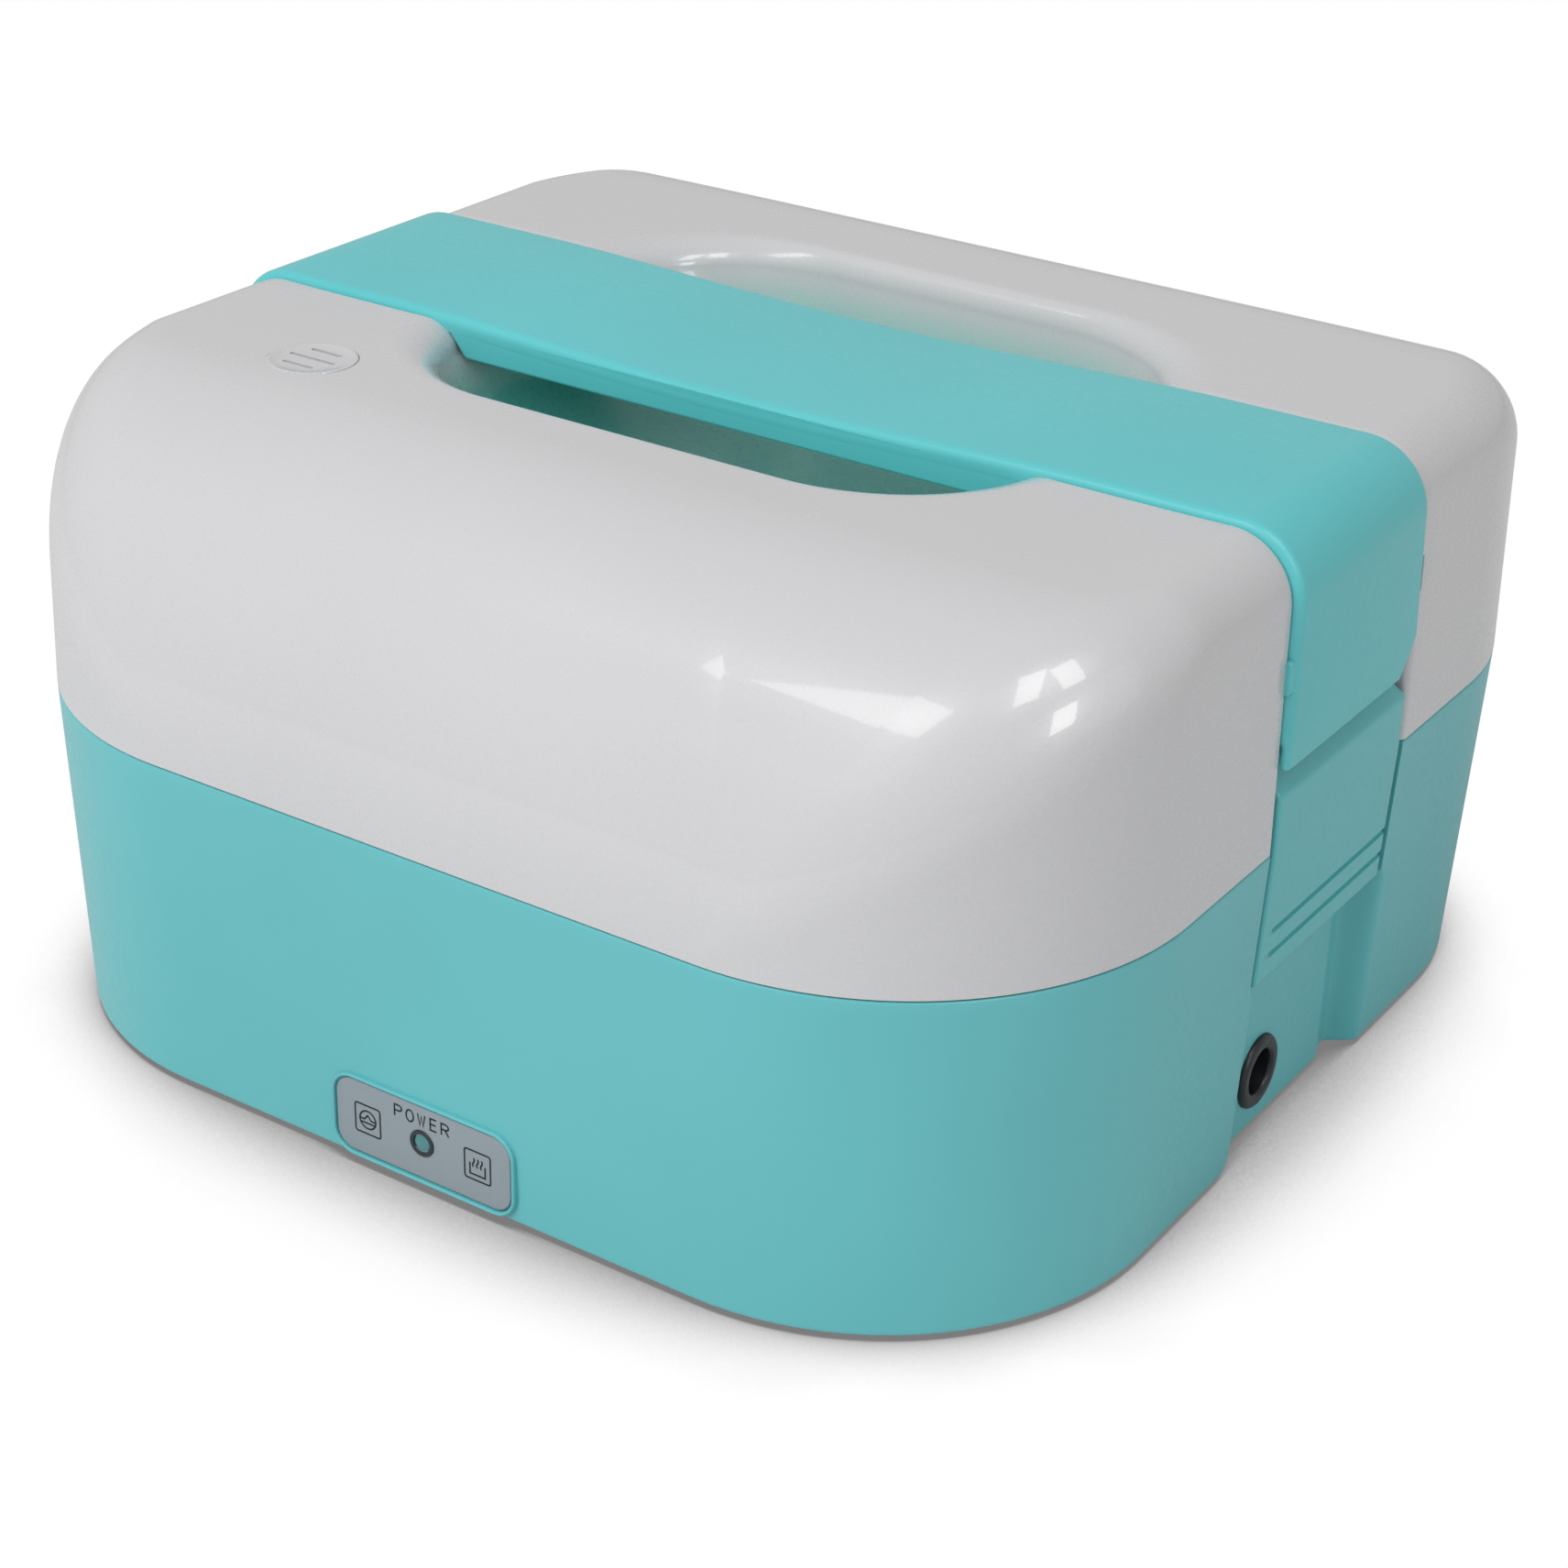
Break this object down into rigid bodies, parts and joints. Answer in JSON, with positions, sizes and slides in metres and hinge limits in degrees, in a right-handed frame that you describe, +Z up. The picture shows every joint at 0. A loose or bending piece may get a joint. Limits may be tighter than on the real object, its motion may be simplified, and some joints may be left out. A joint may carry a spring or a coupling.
{
  "type": "electric lunch box",
  "caption": "Square electric lunch box with a heated base, nested food containers, a rounded lift-off lid with a flush strap handle over a finger recess, and side latches.",
  "frame": {"origin": "centre of the footprint, on the plane the feet stand on", "axes": "+Z up; the front with the indicator panel faces -Y; the strap handle runs along X; the power inlet is on the +X side"},
  "size_m": [0.237, 0.2342, 0.1272],
  "materials": {
    "teal_shell": "satin",
    "teal_strap": "satin",
    "teal_latch": "satin",
    "white_shell": "gloss",
    "white_inner": "matte",
    "silicone": "matte",
    "teal_silicone": "matte",
    "tray_plastic": "satin",
    "cover_plastic": "satin",
    "stainless": "brushed",
    "plate_aluminium": "satin",
    "heater_ceramic": "matte",
    "steel_strip": "satin",
    "screw_steel": "satin",
    "thermostat_body": "matte",
    "fuse_body": "matte",
    "lead_skin": "matte",
    "grey_panel": "satin",
    "dark_ring": "gloss",
    "lens_plastic": "gloss",
    "board": "satin",
    "lamp": "gloss",
    "black_plastic": "satin",
    "contact_brass": "satin",
    "foot_rubber": "matte"
  },
  "bodies": {
    "base": {"base_shell": "teal_shell", "inner_well": "white_inner", "heating_plate": "plate_aluminium", "ptc_heater": "heater_ceramic", "heater_clamp": "steel_strip", "clamp_screws": "screw_steel", "thermostat": "thermostat_body", "thermal_fuse": "fuse_body", "inner_leads": "lead_skin", "indicator_panel": "grey_panel", "lens_bezel": "dark_ring", "indicator_lens": "lens_plastic", "led_board": "board", "indicator_led": "lamp", "inlet_socket": "black_plastic", "inlet_pins": "contact_brass", "inlet_nut": "black_plastic", "rubber_feet": "foot_rubber", "base_screws": "screw_steel"},
    "container": {"steel_container": "stainless"},
    "tray": {"food_tray": "tray_plastic"},
    "cover": {"tray_cover": "cover_plastic", "tray_seal": "teal_silicone", "steam_plug": "teal_silicone"},
    "lid": {"lid_shell": "white_shell", "lid_inner_panel": "white_inner", "lid_gasket": "silicone", "panel_screws": "screw_steel", "strap_handle": "teal_strap", "grip_underside": "teal_latch", "grip_screws": "screw_steel", "strap_screws": "screw_steel", "vent_cap": "white_shell", "vent_tube": "silicone", "latch_pins": "steel_strip"},
    "right_latch": {"latch_right": "teal_latch"},
    "left_latch": {"latch_left": "teal_latch"}
  },
  "joints": [
    {"name": "container_lift", "type": "slide", "parent": "base", "child": "container", "axis": [0, 0, 1], "range_m": [0, 0.08]},
    {"name": "tray_lift", "type": "slide", "parent": "container", "child": "tray", "axis": [0, 0, 1], "range_m": [0, 0.06]},
    {"name": "cover_lift", "type": "slide", "parent": "tray", "child": "cover", "axis": [0, 0, 1], "range_m": [0, 0.06]},
    {"name": "lid_lift", "type": "slide", "parent": "cover", "child": "lid", "axis": [0, 0, 1], "range_m": [0, 0.14]},
    {"name": "right_latch_swing", "type": "hinge", "parent": "lid", "child": "right_latch", "pos_m": [0.1119, 0, 0.0925], "axis": [0, -1, 0], "range_deg": [0, 17]},
    {"name": "left_latch_swing", "type": "hinge", "parent": "lid", "child": "left_latch", "pos_m": [-0.1119, 0, 0.0925], "axis": [0, 1, 0], "range_deg": [0, 17]}
  ]
}
